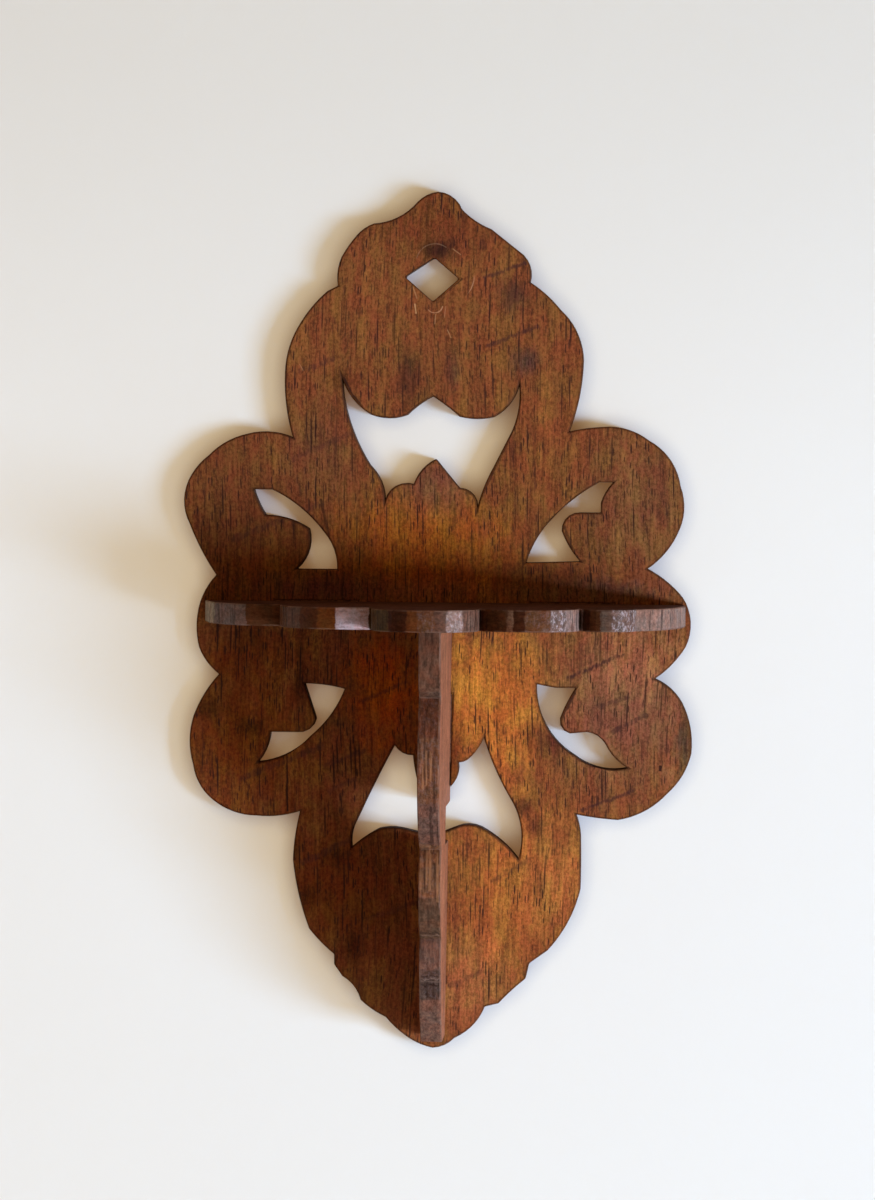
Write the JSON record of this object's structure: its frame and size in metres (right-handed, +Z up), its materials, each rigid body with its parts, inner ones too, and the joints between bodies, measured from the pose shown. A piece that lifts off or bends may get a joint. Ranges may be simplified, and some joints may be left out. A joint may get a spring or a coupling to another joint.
{
  "type": "wall shelf",
  "caption": "Small fretwork wall shelf: a pierced, scalloped back board carries a scalloped half-round shelf and the scalloped bracket below it.",
  "frame": {"origin": "top corner of the diamond-shaped nail hole, in the plane of the face that lies against the wall", "axes": "+X to the right as the shelf is looked at, +Y back into the wall, +Z up along the back board"},
  "size_m": [0.1514, 0.0803, 0.254],
  "materials": {
    "board_wood": "reddish-brown stain and thin varnish on open-pored mahogany, grain upright",
    "shelf_wood": "dark reddish-brown stain, front edge rubbed grey-brown and glossy",
    "bracket_wood": "dark reddish-brown stain, front edge rubbed grey-brown",
    "pin_steel": "dull drawn wire"
  },
  "bodies": {
    "root": {"back_board": "board_wood", "shelf": "shelf_wood", "bracket": "bracket_wood", "shelf_pin_left": "pin_steel", "shelf_pin_right": "pin_steel", "bracket_pin_upper": "pin_steel", "bracket_pin_lower": "pin_steel", "top_pin_rear": "pin_steel", "top_pin_front": "pin_steel"}
  },
  "joints": []
}
